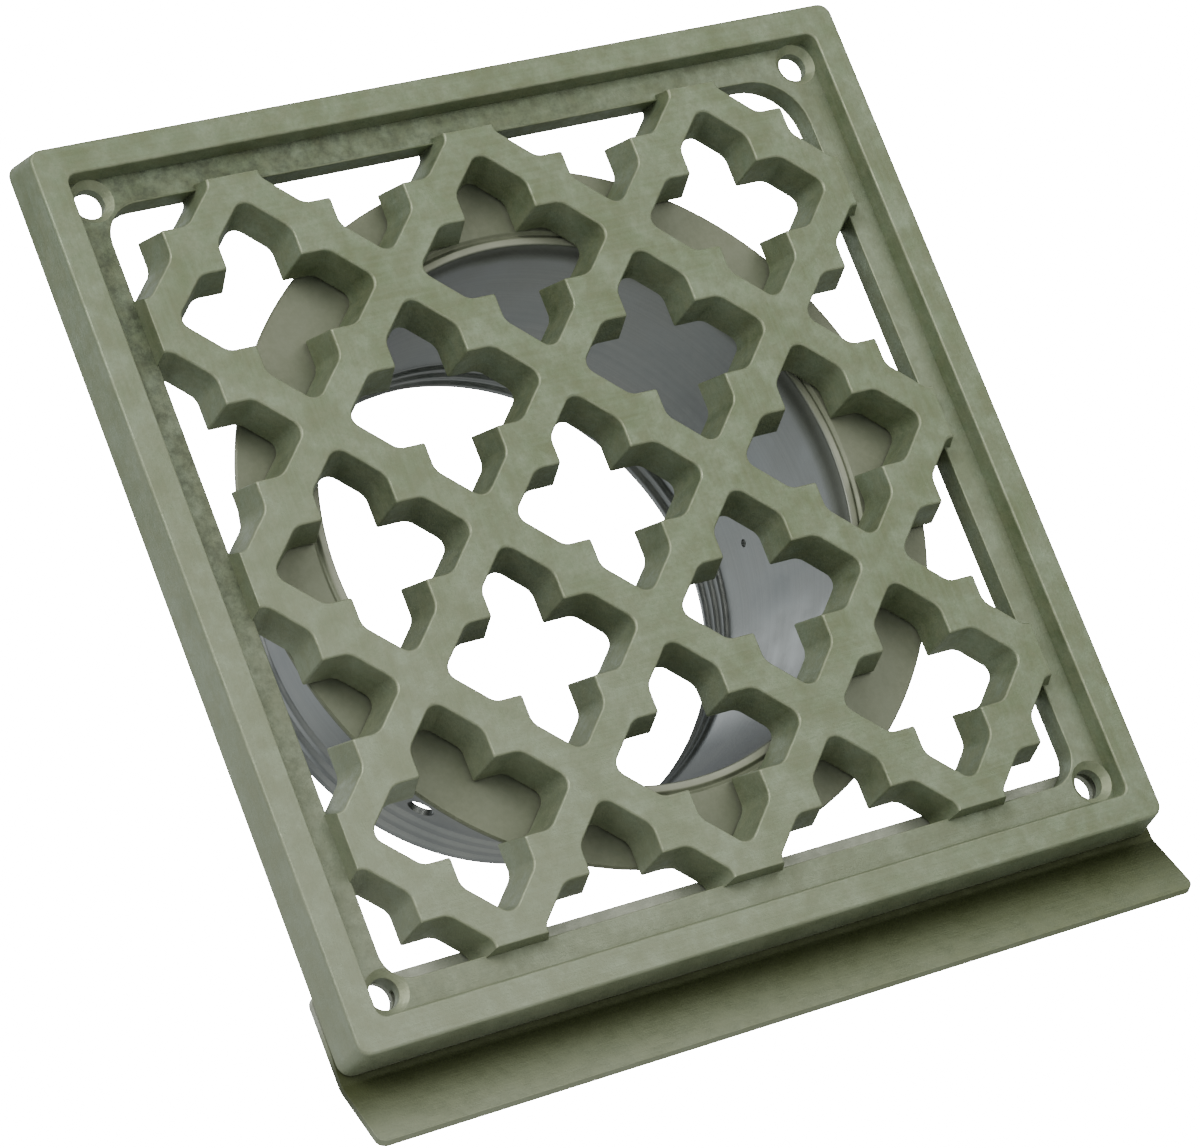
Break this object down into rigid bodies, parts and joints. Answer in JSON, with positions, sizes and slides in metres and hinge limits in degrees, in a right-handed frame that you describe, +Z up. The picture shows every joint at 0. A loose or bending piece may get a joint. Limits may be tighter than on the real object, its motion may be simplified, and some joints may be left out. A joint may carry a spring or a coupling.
{
  "type": "ventilation grille",
  "caption": "Square cast bronze wall vent cover: flush fretwork of cross-shaped openings, sunk ledge with corner screw holes, sloping drip apron and a round flanged duct spigot behind.",
  "frame": {"origin": "centre of the casting's back face, at the middle of the wall opening that the grille covers", "axes": "+X to the right seen from the front, +Y back into the wall along the duct, +Z up; the pierced face looks along -Y"},
  "size_m": [0.1734, 0.0651, 0.1869],
  "materials": {
    "patinated_bronze": "cast, grey-green patina, edges worn lighter",
    "bronze_sheet": "smooth sheet, grey-green patina",
    "galvanised_steel": "dull spun steel"
  },
  "bodies": {
    "root": {"fretwork_grille": "patinated_bronze", "drip_apron": "bronze_sheet", "flanged_spigot": "galvanised_steel"}
  },
  "joints": []
}
